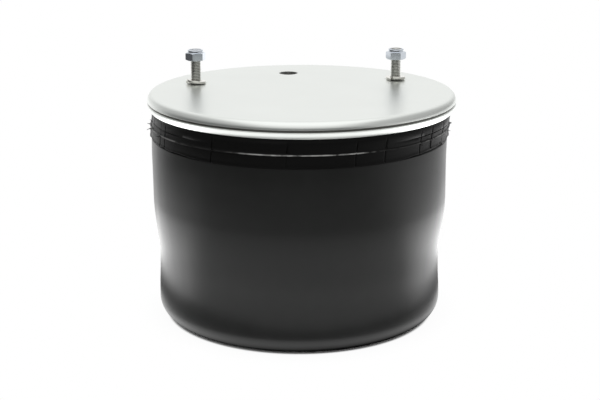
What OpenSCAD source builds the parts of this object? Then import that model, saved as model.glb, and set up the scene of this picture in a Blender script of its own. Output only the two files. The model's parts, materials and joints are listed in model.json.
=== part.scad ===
// Rolling-lobe air bellows with a crimped top plate, drawn collapsed onto its bump stop.
// Millimetres, +Z up. The origin is on the floor, on the axis of the piston.
// The two studs lie on a line along X and the air port lies behind them, towards +Y.

/* [Top plate] */
// Outside diameter of the crimped rim
plate_d = 289; // [280:1:300]
// Height of the plate's face above the floor when collapsed
plate_z = 214; // [205:1:230]
// Sheet thickness of the plate
plate_t = 3; // [2.5:0.5:3.5]
// Depth of the crimped rim below the face
rim_h = 15; // [14:0.5:17]
// How far the rim's shoulder curves in from the rim
shoulder_w = 5.8; // [4:0.1:6]
// Height of the curled lip under the rim
lip_h = 5.2; // [4.4:0.1:5.4]
// How far the lip leans in from the rim
lip_w = 2.4; // [2:0.1:3]
// Depth of the groove between shoulder and lip
groove_depth = 1.2; // [0.6:0.1:1.5]
// Height of that groove
groove_h = 2.6; // [2:0.1:3]
// Level of the groove's middle below the face
groove_z = 8.2; // [7.6:0.1:8.4]
// Distance that the rim stands out past the sleeve
rim_overhang = 5.3; // [5:0.1:6]

/* [Studs and nuts] */
// Nominal thread diameter of the studs
stud_d = 10; // [8:1:12]
// Distance of each stud from the rim, along the stud line's direction
stud_inset = 47; // [42:0.5:56]
// Distance of the stud line behind the axis
stud_back = 44.5; // [20:0.5:52]
// Length of a stud above the plate
stud_h = 31; // [30:0.5:36]
// Diameter of the stud's welded head under the plate
stud_head_d = 24; // [20:1:26]
// Thickness of the stud's head
stud_head_t = 4; // [3:0.5:6]
// Width across flats of the nuts
nut_af = 17; // [16:0.5:19]
// Height of a nut with its collar
nut_h = 10; // [9.5:0.5:11]
// Height of a nut's hexagon alone
nut_hex_h = 7.6; // [6.4:0.2:7.8]
// Outside diameter of a nut's collar
nut_collar_d = 15; // [14:0.2:15.6]
// Height of the left and right nut above the plate
nut_lift = [22.8, 20.4]; // [18:0.1:24]
// Turn of the left and right nut about its stud
nut_turn = [12, 48]; // [0:1:60]
// Outside diameter of a spring washer
washer_d = 19; // [17:0.1:20]
// Section height of a spring washer
washer_t = 2.2; // [1.8:0.1:2.6]
// Rise of a spring washer from one end to the other
washer_rise = 2.2; // [0.5:0.1:3]
// Place of the split on the left and right washer
washer_turn = [184, 237]; // [0:1:360]
// Diameter of the coined seat round each stud
stud_seat_d = 22; // [21:0.5:26]
// Depth of the coined seat
stud_seat_depth = 0.3; // [0.2:0.1:0.5]

/* [Air port] */
// Distance of the air port from the rim behind it
port_inset = 53; // [48:0.5:64]
// Distance of the air port to the right of the middle line
port_aside = -3.2; // [-6:0.1:6]
// Diameter of the port's countersunk mouth
port_d = 16.4; // [16:0.1:18]
// Diameter of the bush's spigot in the plate
port_spigot_d = 20; // [19:0.5:22]
// Core diameter of the port's internal thread
port_core_d = 14.5; // [13:0.1:15]
// Diameter of the bush's flange under the plate
port_flange_d = 30; // [28:1:34]
// Thickness of the bush's flange
port_flange_t = 4; // [3:0.5:5]
// Outside diameter of the bush
port_bush_d = 23; // [20:1:26]
// Length of the bush
port_bush_h = 15; // [12:1:20]

/* [Bellows] */
// Wall thickness of the rubber sleeve
wall_t = 6; // [5:0.5:7]
// How far the waist is drawn in from the sleeve
waist_in = 5; // [2:0.2:7]
// Height of the waist above the floor
waist_z = 55; // [45:1:62]
// Height above which the sleeve is straight
straight_z = 116; // [100:1:130]
// How far the lobe is drawn in from the sleeve
lobe_in = 3.8; // [1:0.2:4]
// Depth of the bead band's lower edge below the plate's face
band_depth = 39.5; // [34:0.5:44]
// Depth of the band's raised line below the plate's face
band_line_depth = 29.5; // [26:0.5:32]
// How far the band stands out past the sleeve
band_step = 1.6; // [0.8:0.1:2]
// Radial width of the upper bead
top_bead_w = 12.7; // [12:0.1:14]
// Radial width of the lower bead
low_bead_w = 13; // [12:0.5:15]
// Diameter of the bead wires
wire_d = 4.4; // [3.6:0.2:4.6]
// Clearance between the rubber and what it lies against
soft_gap = 0.3; // [0.2:0.1:0.4]

/* [Piston] */
// Outside diameter of the piston
piston_d = 205; // [200:1:212]
// Height of the piston's head above the floor
piston_h = 136; // [128:1:140]
// Sheet thickness of the piston
piston_t = 3; // [2.5:0.5:4]
// Radius of the piston's shoulder
piston_shoulder_r = 14.5; // [12:0.5:18]
// Diameter of the neck that the lower bead sits on
neck_d = 146; // [140:1:150]
// Height of the neck above the shoulder
neck_h = 14; // [13:0.5:16]
// How much smaller the neck's radius is at its top
neck_taper = 1; // [0.5:0.1:1.5]
// Thickness of the base plate
base_t = 6; // [5:0.5:8]
// Diameter of the access hole in the base plate
base_hole_d = 42; // [38:1:46]
// Spacing of the four threaded bushes along X and Y
bush_span = 100; // [90:1:112]
// Core diameter of the bushes' internal thread
bush_core_d = 10.2; // [8.5:0.1:11]
// Diameter of a bush where it passes through the base plate
bush_d = 20; // [18:0.5:22]
// Diameter of a bush's flange
bush_flange_d = 28; // [26:1:32]
// Length of a bush
bush_h = 20; // [16:1:26]
// Outside diameter of the centre tube
tube_d = 64; // [60:1:72]
// Wall thickness of the centre tube
tube_t = 4; // [3:0.5:5]

/* [Closure and bump stop] */
// Thickness of the end closure
closure_t = 4; // [3.5:0.5:6]
// Mean diameter of the closure's seal ring
seal_d = 34; // [32:1:40]
// Section diameter of the seal ring
seal_wire_d = 2.8; // [2:0.1:2.8]
// Nominal thread diameter of the piston bolt
bolt_d = 16; // [14:1:16]
// Width across flats of the piston bolt and its nut
bolt_af = 24; // [22:1:26]
// Height of the piston bolt's head
bolt_head_h = 10; // [8:0.5:12]
// Height of the piston bolt's nut
bolt_nut_h = 13; // [11:0.5:15]
// Diameter of the washer under the bolt's head
bolt_washer_d = 34; // [30:1:40]
// Thickness of that washer
bolt_washer_t = 3; // [2:0.5:4]
// Diameter of the steel foot in the bump stop
foot_d = 80; // [74:1:86]
// Thickness of the steel foot
foot_t = 4; // [3:0.5:5]
// Diameter of the bump stop at its foot
stop_foot_d = 94; // [92:1:104]
// Diameter of the bump stop at its top
stop_top_d = 76; // [70:1:84]
// Depth of the groove round the bump stop
stop_groove = 5; // [3:0.5:7]
// Diameter of the bump stop's core
stop_core_d = 34; // [32:1:38]

/* [Hidden] */
$fn = 96;

// Clearances between hard pieces
run_gap = 0.05;
hole_gap = 0.3;
bolt_gap = 0.5;
cut = 1;

// Levels of the top plate
plate_r = plate_d / 2;
plate_under = plate_z - plate_t;
rim_bottom = plate_z - rim_h;
rim_inner_r = plate_r - plate_t;
hook_top = rim_bottom + plate_t;
hook_end_r = plate_t / 2;
shoulder_h = groove_z - groove_h / 2;
lip_lean = 0.7;
inner_fillet = 2;

// Radii and levels of the sleeve
sleeve_r = plate_r - rim_overhang;
hook_r = sleeve_r + soft_gap;
waist_r = sleeve_r - waist_in;
lobe_r = sleeve_r - lobe_in;
piston_r = piston_d / 2;
inner_run_r = piston_r + soft_gap;
fold_r = (lobe_r - inner_run_r) / 2;
fold_c = [lobe_r - fold_r, fold_r + soft_gap];
band_z = plate_z - band_depth;
band_line_z = plate_z - band_line_depth;
band_r = sleeve_r + band_step;
band_mid_share = 0.6;
band_mid_r = sleeve_r + band_step * band_mid_share;
band_line_h = 1.2;
wire_r = wire_d / 2;

// Upper bead, held between the plate and the crimped lip
top_bead_lo = hook_top + soft_gap;
top_bead_hi = plate_under - soft_gap;
top_bead_out = rim_inner_r - soft_gap;
top_bead_in = top_bead_out - top_bead_w;
bead_corner = 1.5;
bead_throat = 4;
top_wire = [(top_bead_in + top_bead_out) / 2, (top_bead_lo + top_bead_hi) / 2];

// Shoulder, neck and lower bead
neck_r = neck_d / 2;
shoulder_z = piston_h - neck_h;
shoulder_c = [piston_r - piston_shoulder_r, shoulder_z - piston_shoulder_r];
low_bead_in = neck_r + soft_gap;
low_bead_out = low_bead_in + low_bead_w;
low_bead_lo = shoulder_z + soft_gap;
low_bead_hi = piston_h - soft_gap;
low_wire = [low_bead_in + low_bead_w / 2, (low_bead_lo + low_bead_hi) / 2];

// Stack on the piston's head
head_under = piston_h - piston_t;
closure_top = piston_h + closure_t;
foot_top = closure_top + foot_t;
stop_top = plate_under - soft_gap;
bolt_hole_d = bolt_d + 2 * bolt_gap;
bolt_spare = 4;
bolt_top = foot_top + bolt_nut_h + bolt_spare;

// Places of the studs and of the air port
port_xy = [port_aside, plate_r - port_inset];
port_top = plate_z - run_gap;
port_mouth_h = (port_d - port_core_d) / 2;
stud_x = plate_r - stud_inset;
stud_xy = [[-stud_x, stud_back], [stud_x, stud_back]];
seat_z = plate_z - stud_seat_depth;
stud_hole_d = stud_d + 2 * hole_gap;
hex_r = nut_af / sqrt(3);
thread_chamfer = 1;
collar_chamfer = 0.8;
collar_wall = 0.9;
collar_lip = 0.6;
insert_h = nut_h - nut_hex_h - collar_lip;
insert_d = nut_collar_d - 2 * collar_wall;
lead_in = 1.5;
washer_split = 14;
hex_chamfer = 0.1;
bolt_hex_r = bolt_af / sqrt(3);

steel = [0.86, 0.87, 0.85];
zinc = [0.62, 0.64, 0.66];
rubber = [0.09, 0.09, 0.09];
black_paint = [0.14, 0.14, 0.15];
nylon = [0.85, 0.86, 0.9];

// Points on an arc about c from angle a to angle b
function arc(c, r, a, b, n = 10) =
  [for (i = [0:n]) c + r * [cos(a + (b - a) * i / n), sin(a + (b - a) * i / n)]];

// Ease from 0 to 1
function ease(t) = let (u = min(max(t, 0), 1)) u * u * (3 - 2 * u);

// Outside radius of the sleeve at height z
function sleeve_at(z) = z > waist_z
  ? waist_r + (sleeve_r - waist_r) * ease((z - waist_z) / (straight_z - waist_z))
  : lobe_r + (waist_r - lobe_r) * ease((z - fold_c.y) / (waist_z - fold_c.y));

// The sleeve's wall from its top down to the fold, offset inwards by depth
function sleeve_line(depth, n = 30) = [for (i = [0:n])
  let (z = band_z - band_step + (fold_c.y - band_z + band_step) * i / n) [sleeve_at(z) - depth, z]];

function reversed(list) = [for (i = [len(list) - 1:-1:0]) list[i]];

// Section of the crimped plate, from the axis out over the rim and back under
function plate_section() = concat(
  [[0, plate_z]],
  rim_shoulder(),
  rim_groove(),
  rim_lip(),
  arc([hook_r + hook_end_r, rim_bottom + hook_end_r], hook_end_r, 270, 90),
  [[rim_inner_r, hook_top]],
  arc([rim_inner_r - inner_fillet, plate_under - inner_fillet], inner_fillet, 0, 90),
  [[0, plate_under]]);

// Rounded shoulder from the face down to the groove, a quarter of an ellipse
function rim_shoulder(n = 10) = [for (i = [0:n - 1]) let (a = 90 * i / n)
  [plate_r - shoulder_w + shoulder_w * sin(a), plate_z - shoulder_h + shoulder_h * cos(a)]];

// Shallow trough between the rim's shoulder and its lip
function rim_groove(n = 10) = [for (i = [0:n])
  [plate_r - groove_depth * ease(sin(180 * i / n)), plate_z - groove_z + groove_h * (0.5 - i / n)]];

// Lip that leans in more and more towards its lower edge
function rim_lip(n = 10) = [for (i = [0:n]) let (t = i / n)
  [plate_r - lip_w * (lip_lean * t + (1 - lip_lean) * pow(t, 3)), rim_bottom + lip_h * (1 - t)]];

// Section of the bead band on the outside of the sleeve, from the lip downwards
function band_line() = [
  [sleeve_r, rim_bottom],
  [band_mid_r, rim_bottom - bead_throat],
  [band_mid_r, band_line_z + band_line_h],
  [band_r, band_line_z + band_line_h / 2],
  [band_r, band_line_z - band_line_h / 2],
  [band_mid_r, band_line_z - band_line_h],
  [band_r, band_z]];

// Section of the whole bellows: outside, fold, lower bead, then back along the air side
function bellows_section() = concat(
  arc([top_bead_out - bead_corner, top_bead_lo + bead_corner], bead_corner, 0, -90, 5),
  [[sleeve_r, top_bead_lo]],
  band_line(),
  sleeve_line(0),
  arc(fold_c, fold_r, 0, -180, 24),
  arc(shoulder_c, piston_shoulder_r + soft_gap, 0, 90),
  [[low_bead_in, low_bead_lo]],
  [[low_bead_in - neck_taper, low_bead_hi]],
  arc([low_bead_out - bead_corner, low_bead_hi - bead_corner], bead_corner, 90, 0, 5),
  [[low_bead_out, low_bead_lo + wall_t]],
  arc(shoulder_c, piston_shoulder_r + soft_gap + wall_t, 90, 0),
  arc(fold_c, fold_r - wall_t, -180, 0, 24),
  reversed(sleeve_line(wall_t)),
  [[sleeve_r - wall_t, top_bead_lo - bead_throat]],
  [[top_bead_in, top_bead_lo + bead_corner]],
  arc([top_bead_in + bead_corner, top_bead_hi - bead_corner], bead_corner, 180, 90, 5),
  arc([top_bead_out - bead_corner, top_bead_hi - bead_corner], bead_corner, 90, 0, 5));

// Section of the drawn piston drum with its shoulder and tapered neck
function piston_section() = concat(
  [[piston_r, soft_gap]],
  arc(shoulder_c, piston_shoulder_r, 0, 90),
  [[neck_r, shoulder_z]],
  [[neck_r - neck_taper, piston_h]],
  [[bolt_hole_d / 2, piston_h]],
  [[bolt_hole_d / 2, head_under]],
  [[neck_r - neck_taper - piston_t, head_under]],
  [[neck_r - piston_t, shoulder_z - piston_t]],
  arc(shoulder_c, piston_shoulder_r - piston_t, 90, 0),
  [[piston_r - piston_t, soft_gap]]);

// Section of the hollow rubber bump stop with one groove round its middle
function stop_section(n = 16) = concat(
  [[foot_d / 2 + soft_gap, closure_top + soft_gap]],
  [[stop_foot_d / 2, closure_top + soft_gap]],
  [for (i = [0:n]) let (t = i / n) [
    (stop_foot_d + (stop_top_d - stop_foot_d) * t) / 2 - stop_groove * ease(sin(180 * t)),
    foot_top + (stop_top - foot_top) * t]],
  [[stop_core_d / 2, stop_top]],
  [[stop_core_d / 2, foot_top + soft_gap]],
  [[foot_d / 2 + soft_gap, foot_top + soft_gap]]);

// Round bar with a chamfer at its upper end
module chamfered_bar(d, h, chamfer) {
  cylinder(d = d, h = h - chamfer);
  translate([0, 0, h - chamfer]) cylinder(d1 = d, d2 = d - 2 * chamfer, h = chamfer);
}

// Hexagon with its corners turned off at both ends
module hexagon(r, h) {
  small_r = r * (1 - hex_chamfer);
  intersection() {
    cylinder(r = r, h = h, $fn = 6);
    cylinder(r1 = small_r + h, r2 = small_r, h = h);
    cylinder(r1 = small_r, r2 = small_r + h, h = h);
  }
}

// Split ring that falls from one end to the other as it goes round
module split_ring(inner_d, outer_d, t, rise, gap_angle, steps = 40) {
  corners = [[inner_d / 2, 0], [outer_d / 2, 0], [outer_d / 2, t], [inner_d / 2, t]];
  points = [for (i = [0:steps], c = corners)
    let (a = gap_angle / 2 + (360 - gap_angle) * i / steps)
    [c.x * cos(a), c.x * sin(a), c.y + rise * (1 - i / steps)]];
  sides = [for (i = [0:steps - 1], j = [0:3])
    let (k = (j + 1) % 4) [4 * i + j, 4 * i + k, 4 * i + 4 + k, 4 * i + 4 + j]];
  ends = [[3, 2, 1, 0], [for (j = [0:3]) 4 * steps + j]];
  polyhedron(points, concat(sides, ends));
}

module top_plate() {
  color(steel) difference() {
    rotate_extrude() polygon(plate_section());
    for (p = stud_xy) translate([p.x, p.y, 0]) {
      translate([0, 0, plate_under - cut]) cylinder(d = stud_hole_d, h = plate_t + 2 * cut);
      translate([0, 0, seat_z]) cylinder(d = stud_seat_d, h = stud_seat_depth + cut);
    }
    translate([port_xy.x, port_xy.y, plate_under - cut])
      cylinder(d = port_spigot_d + 2 * run_gap, h = plate_t + 2 * cut);
  }
}

module studs() {
  color(zinc) for (p = stud_xy) translate([p.x, p.y, plate_under - stud_head_t]) {
    cylinder(d = stud_head_d, h = stud_head_t);
    chamfered_bar(stud_d, stud_head_t + plate_t + stud_h, thread_chamfer);
  }
}

module stud_nuts() {
  color(zinc) for (i = [0, 1])
    translate([stud_xy[i].x, stud_xy[i].y, plate_z + nut_lift[i]]) rotate(nut_turn[i]) difference() {
      union() {
        hexagon(hex_r, nut_hex_h);
        chamfered_bar(nut_collar_d, nut_h, collar_chamfer);
      }
      translate([0, 0, -cut]) cylinder(d = stud_d + 2 * run_gap, h = nut_h + 2 * cut);
      translate([0, 0, nut_hex_h]) cylinder(d = insert_d, h = insert_h);
      translate([0, 0, -lead_in]) cylinder(d1 = stud_d + 4 * lead_in, d2 = stud_d, h = 2 * lead_in);
    }
}

module nut_inserts() {
  color(nylon) for (i = [0, 1])
    translate([stud_xy[i].x, stud_xy[i].y, plate_z + nut_lift[i] + nut_hex_h]) difference() {
      cylinder(d = insert_d - 2 * run_gap, h = insert_h - run_gap);
      translate([0, 0, -cut]) cylinder(d = stud_d + 2 * run_gap, h = insert_h + 2 * cut);
    }
}

module spring_washers() {
  color(zinc) for (i = [0, 1]) translate([stud_xy[i].x, stud_xy[i].y, seat_z + run_gap])
    rotate(washer_turn[i]) split_ring(stud_d + 2 * hole_gap, washer_d, washer_t, washer_rise, washer_split);
}

module air_port_bush() {
  spigot_h = port_top - plate_under;
  color(steel) translate([port_xy.x, port_xy.y, plate_under]) difference() {
    union() {
      translate([0, 0, -port_flange_t]) cylinder(d = port_flange_d, h = port_flange_t);
      translate([0, 0, -port_bush_h]) cylinder(d = port_bush_d, h = port_bush_h);
      cylinder(d = port_spigot_d, h = spigot_h);
    }
    translate([0, 0, -port_bush_h - cut]) cylinder(d = port_core_d, h = port_bush_h + spigot_h + 2 * cut);
    translate([0, 0, spigot_h - port_mouth_h])
      cylinder(d1 = port_core_d, d2 = port_d + 2 * cut, h = port_mouth_h + cut);
  }
}

module bellows() {
  color(rubber) difference() {
    rotate_extrude() polygon(bellows_section());
    bead_wire(top_wire, wire_r + soft_gap);
    bead_wire(low_wire, wire_r + soft_gap);
  }
}

module bead_wire(place, r) {
  rotate_extrude() translate(place) circle(r = r, $fn = 32);
}

module upper_bead_wire() {
  color(zinc) bead_wire(top_wire, wire_r);
}

module lower_bead_wire() {
  color(zinc) bead_wire(low_wire, wire_r);
}

module piston_shell() {
  color(black_paint) rotate_extrude() polygon(piston_section());
}

// Places of the four bushes in the base
module at_bushes() {
  for (x = [-1, 1], y = [-1, 1]) translate([x, y, 0] * bush_span / 2) children();
}

module piston_base() {
  color(black_paint) difference() {
    cylinder(d = piston_d - 2 * piston_t - 2 * hole_gap, h = base_t);
    translate([0, 0, -cut]) cylinder(d = base_hole_d, h = base_t + 2 * cut);
    at_bushes() translate([0, 0, -cut]) cylinder(d = bush_d + 2 * hole_gap, h = base_t + 2 * cut);
  }
}

module base_bushes() {
  color(zinc) at_bushes() difference() {
    union() {
      cylinder(d = bush_d, h = bush_h);
      translate([0, 0, base_t]) cylinder(d = bush_flange_d, h = base_t);
    }
    translate([0, 0, -cut]) cylinder(d = bush_core_d, h = bush_h + 2 * cut);
  }
}

module centre_tube() {
  color(black_paint) translate([0, 0, base_t]) difference() {
    cylinder(d = tube_d, h = head_under - base_t);
    translate([0, 0, -cut]) cylinder(d = tube_d - 2 * tube_t, h = head_under - base_t + 2 * cut);
  }
}

module end_closure() {
  seal_groove = seal_wire_d + 2 * run_gap;
  color(zinc) difference() {
    rotate_extrude() polygon(concat(
      [[bolt_hole_d / 2, piston_h]],
      arc([low_bead_out - closure_t / 2, piston_h + closure_t / 2], closure_t / 2, -90, 90),
      [[bolt_hole_d / 2, closure_top]]));
    translate([0, 0, piston_h - cut]) difference() {
      cylinder(d = seal_d + seal_groove, h = seal_groove + cut);
      translate([0, 0, -cut]) cylinder(d = seal_d - seal_groove, h = seal_groove + 3 * cut);
    }
  }
}

module closure_seal() {
  color(rubber) rotate_extrude()
    translate([seal_d / 2, piston_h + run_gap + seal_wire_d / 2]) circle(d = seal_wire_d, $fn = 32);
}

module piston_bolt() {
  under = head_under - bolt_washer_t;
  color(zinc) {
    translate([0, 0, under - bolt_head_h]) hexagon(bolt_hex_r, bolt_head_h);
    translate([0, 0, under]) chamfered_bar(bolt_d, bolt_top - under, thread_chamfer);
  }
}

module bolt_washer() {
  color(zinc) translate([0, 0, head_under - bolt_washer_t]) difference() {
    cylinder(d = bolt_washer_d, h = bolt_washer_t);
    translate([0, 0, -cut]) cylinder(d = bolt_hole_d, h = bolt_washer_t + 2 * cut);
  }
}

module piston_nut() {
  color(zinc) translate([0, 0, foot_top]) difference() {
    hexagon(bolt_hex_r, bolt_nut_h);
    translate([0, 0, -cut]) cylinder(d = bolt_d + 2 * run_gap, h = bolt_nut_h + 2 * cut);
  }
}

module bump_stop() {
  color(rubber) rotate_extrude() polygon(stop_section());
}

module bump_stop_foot() {
  color(zinc) translate([0, 0, closure_top]) difference() {
    cylinder(d = foot_d, h = foot_t);
    translate([0, 0, -cut]) cylinder(d = bolt_hole_d, h = foot_t + 2 * cut);
  }
}

top_plate();
studs();
stud_nuts();
nut_inserts();
spring_washers();
air_port_bush();
upper_bead_wire();
bellows();
lower_bead_wire();
piston_shell();
piston_base();
base_bushes();
centre_tube();
end_closure();
closure_seal();
piston_bolt();
bolt_washer();
piston_nut();
bump_stop();
bump_stop_foot();
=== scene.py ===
"""Rolling-lobe air bellows: crimped plate, studs with lock nuts, moulded rubber sleeve and piston.

Everything is in metres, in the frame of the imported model: +Z up from the floor, X along the studs.
"""
import json
import math
import random

import bmesh
import bpy
from mathutils import Matrix, Vector, noise


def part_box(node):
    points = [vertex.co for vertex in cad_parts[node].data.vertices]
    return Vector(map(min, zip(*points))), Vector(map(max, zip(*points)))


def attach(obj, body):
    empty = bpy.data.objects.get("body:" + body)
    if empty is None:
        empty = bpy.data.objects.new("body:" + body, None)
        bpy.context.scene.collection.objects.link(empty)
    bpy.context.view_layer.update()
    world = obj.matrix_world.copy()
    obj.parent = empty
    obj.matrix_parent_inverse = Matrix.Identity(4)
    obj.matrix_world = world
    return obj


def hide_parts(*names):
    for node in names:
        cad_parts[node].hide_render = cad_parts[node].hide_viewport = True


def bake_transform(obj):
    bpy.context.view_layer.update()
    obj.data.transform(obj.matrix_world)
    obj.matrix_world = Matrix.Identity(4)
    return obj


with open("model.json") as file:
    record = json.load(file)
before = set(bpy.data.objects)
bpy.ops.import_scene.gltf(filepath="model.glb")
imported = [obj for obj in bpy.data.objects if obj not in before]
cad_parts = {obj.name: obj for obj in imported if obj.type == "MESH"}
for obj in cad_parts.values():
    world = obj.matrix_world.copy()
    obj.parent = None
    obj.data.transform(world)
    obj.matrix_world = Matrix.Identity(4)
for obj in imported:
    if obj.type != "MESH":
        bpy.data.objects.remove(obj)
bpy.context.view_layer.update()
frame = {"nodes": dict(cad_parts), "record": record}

MM = 0.001
TURN = 2 * math.pi
RUN_GAP = 0.05 * MM
WELD = 1e-6
random.seed(7)


def mount(name):
    """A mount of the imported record."""
    return next(m for m in frame["record"]["mounts"] if m["name"] == name)


# Crimped plate
plate_low, plate_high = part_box("top_plate")
PLATE_R = plate_high.x
PLATE_TOP = plate_high.z
RIM_BOTTOM = plate_low.z
PLATE_T = 3 * MM
PLATE_UNDER = PLATE_TOP - PLATE_T
SHOULDER_W = 5.8 * MM
GROOVE_Z = PLATE_TOP - 8.2 * MM
GROOVE_H = 2.6 * MM
GROOVE_DEPTH = 1.2 * MM
LIP_H = 5.2 * MM
LIP_W = 2.4 * MM
LIP_LEAN = 0.7
SHOULDER_H = PLATE_TOP - GROOVE_Z - GROOVE_H / 2
HOOK_R = PLATE_R - 5 * MM
HOOK_END_R = PLATE_T / 2
RIM_INNER_R = PLATE_R - PLATE_T
INNER_FILLET = 2 * MM
FLAT_R = PLATE_R - SHOULDER_W
PLATE_STEPS = 288

# Studs, nuts and washers
stud_pair = mount("stud_pair")
STUD_R = stud_pair["dims"]["stud_r_mm"] * MM
STUD_X = stud_pair["dims"]["spacing_x_mm"] * MM / 2
STUD_Y = stud_pair["pos_m"][1]
STUD_PLACES = [(-STUD_X, STUD_Y), (STUD_X, STUD_Y)]
STUD_LOW, STUD_TOP = (corner.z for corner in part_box("studs"))
STUD_HEAD_R = 12 * MM
STUD_HOLE_R = STUD_R + 0.3 * MM
SEAT_R = 11 * MM
SEAT_DEPTH = 0.3 * MM
STUD_PITCH = 1.5 * MM
NUT_AF = 17 * MM
NUT_H = 10 * MM
NUT_HEX_H = 7.6 * MM
NUT_COLLAR_R = 7.5 * MM
INSERT_R = NUT_COLLAR_R - 0.9 * MM
INSERT_TOP = NUT_H - 0.6 * MM
nut_low, nut_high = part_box("stud_nuts")
NUT_LEVELS = (nut_high.z - NUT_H, nut_low.z)
NUT_TURNS = (12, 48)
WASHER_R = 9.5 * MM
WASHER_T = 2.2 * MM
washer_low, washer_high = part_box("spring_washers")
WASHER_RISE = washer_high.z - washer_low.z - WASHER_T
WASHER_TURNS = (184, 237)
WASHER_GAP = 14
WASHER_TILTS = (5, 3)

# Air port
air_port = mount("air_port")
PORT_X, PORT_Y, PORT_THREAD_TOP = air_port["pos_m"]
PORT_SPIGOT_R = 10 * MM
PORT_CORE_R = air_port["dims"]["r_mm"] * MM
PORT_PITCH = 1.5 * MM
PORT_FLANGE_R = 15 * MM
PORT_FLANGE_T = 4 * MM
PORT_BUSH_R = 11.5 * MM
PORT_LOW, PORT_TOP = (corner.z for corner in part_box("air_port_bush"))
PORT_R = PORT_CORE_R + PORT_TOP - PORT_THREAD_TOP

# Rubber sleeve
SOFT_GAP = 0.3 * MM
WALL_T = 6 * MM
SLEEVE_R = PLATE_R - 5.3 * MM
WAIST_R = SLEEVE_R - 5 * MM
WAIST_Z = 55 * MM
STRAIGHT_Z = 116 * MM
LOBE_R = SLEEVE_R - 3.8 * MM
PISTON_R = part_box("piston_shell")[1].x
INNER_RUN_R = PISTON_R + SOFT_GAP
FOLD_R = (LOBE_R - INNER_RUN_R) / 2
FOLD_X = LOBE_R - FOLD_R
FOLD_Z = FOLD_R + SOFT_GAP
BEAD_LOW = RIM_BOTTOM + PLATE_T + SOFT_GAP
BEAD_HIGH = PLATE_UNDER - SOFT_GAP
BEAD_OUT_R = RIM_INNER_R - SOFT_GAP
BEAD_IN_R = BEAD_OUT_R - 12.7 * MM
BEAD_CORNER = 1.5 * MM
SLEEVE_ASIDE = -2.1 * MM
ASIDE_DROP = 22 * MM
SLEEVE_STEPS = 288

# Lower bead on the piston's neck
SHOULDER_Z = 122 * MM
PISTON_SHOULDER_R = 14.5 * MM
NECK_R = 73 * MM
NECK_TAPER = 1 * MM
PISTON_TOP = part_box("piston_shell")[1].z
LOW_BEAD_W = 13 * MM

# Bead band under the rim, moulded in panels
BAND_Z = PLATE_TOP - 39.5 * MM
BAND_LINE_Z = PLATE_TOP - 29.5 * MM
RIDGE_TOP = BAND_LINE_Z + 0.8 * MM
RIDGE_LOW = BAND_LINE_Z - 0.8 * MM
BAND_JOINT_Z = BAND_LINE_Z + 5.2 * MM
TEAR_Z = BAND_LINE_Z - 3 * MM
BAND_STEP = 1.6 * MM
BAND_MID = 0.9 * MM
BAND_BED = -0.8 * MM
BAND_STEPS = 1080

# Direction that the photograph is taken from
CAMERA_TURN = -6.3
CAMERA_SIDE = CAMERA_TURN - 90


def arc(centre, radius, start, end, count=16):
    """Points on an arc in a section, angles in degrees."""
    angles = [math.radians(start + (end - start) * i / count) for i in range(count + 1)]
    return [(centre[0] + radius * math.cos(a), centre[1] + radius * math.sin(a)) for a in angles]


def ease(t):
    """Smooth step from 0 to 1."""
    t = min(max(t, 0), 1)
    return t * t * (3 - 2 * t)


def span(start, end, count):
    """Evenly spaced numbers from start to end, both included."""
    return [start + (end - start) * i / count for i in range(count + 1)]


def level_direction(angle):
    """A level direction, by its angle to the right of the camera as seen from the axis."""
    turn = math.radians(CAMERA_SIDE + angle)
    return (math.cos(turn), math.sin(turn), 0)


def sleeve_at(z):
    """Outside radius of the sleeve at a height."""
    if z > WAIST_Z:
        return WAIST_R + (SLEEVE_R - WAIST_R) * ease((z - WAIST_Z) / (STRAIGHT_Z - WAIST_Z))
    return LOBE_R + (WAIST_R - LOBE_R) * ease((z - FOLD_Z) / (WAIST_Z - FOLD_Z))


# Meshes


def everything(mesh):
    """All of a mesh's geometry, as an operator's geom."""
    return mesh.verts[:] + mesh.edges[:] + mesh.faces[:]


def corners(geom):
    """The vertices among some geometry."""
    return [g for g in geom if isinstance(g, bmesh.types.BMVert)]


def repeat(mesh, geom, matrices):
    """Adds a copy of some geometry at each matrix and closes the seams between the copies."""
    for matrix in matrices:
        copy = bmesh.ops.duplicate(mesh, geom=geom)["geom"]
        bmesh.ops.transform(mesh, matrix=matrix, verts=corners(copy))
    bmesh.ops.remove_doubles(mesh, verts=mesh.verts, dist=WELD)


def sweep(mesh, section, closed, angle, steps, climb=0.0):
    """Spins a section of (radius, height) points about Z and returns all that is new."""
    before = set(everything(mesh))
    points = [mesh.verts.new((r, 0, z)) for r, z in section]
    pairs = list(zip(points, points[1:]))
    if closed:
        pairs.append((points[-1], points[0]))
    edges = [mesh.edges.new(pair) for pair in pairs]
    bmesh.ops.spin(mesh, geom=points + edges, cent=(0, 0, 0), axis=(0, 0, 1), dvec=(0, 0, climb / steps),
                   angle=angle, steps=steps)
    return [g for g in everything(mesh) if g not in before]


def lathe(mesh, section, steps, closed=True):
    """Turns a section a full turn, as equal sectors."""
    sectors = 12
    sector = sweep(mesh, section, closed, TURN / sectors, steps // sectors)
    repeat(mesh, sector, [Matrix.Rotation(TURN * i / sectors, 4, "Z") for i in range(1, sectors)])


def place_copies(mesh, matrices):
    """Sets the mesh at the first matrix and a copy of it at each of the others."""
    original = everything(mesh)
    for matrix in matrices[1:]:
        copy = bmesh.ops.duplicate(mesh, geom=original)["geom"]
        bmesh.ops.transform(mesh, matrix=matrix, verts=corners(copy))
    bmesh.ops.transform(mesh, matrix=matrices[0], verts=corners(original))


def circle(mesh, radius, x, y, z, segments):
    """Edges of a flat ring of vertices."""
    verts = bmesh.ops.create_circle(mesh, segments=segments, radius=radius,
                                    matrix=Matrix.Translation((x, y, z)))["verts"]
    return list({edge for vert in verts for edge in vert.link_edges})


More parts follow.
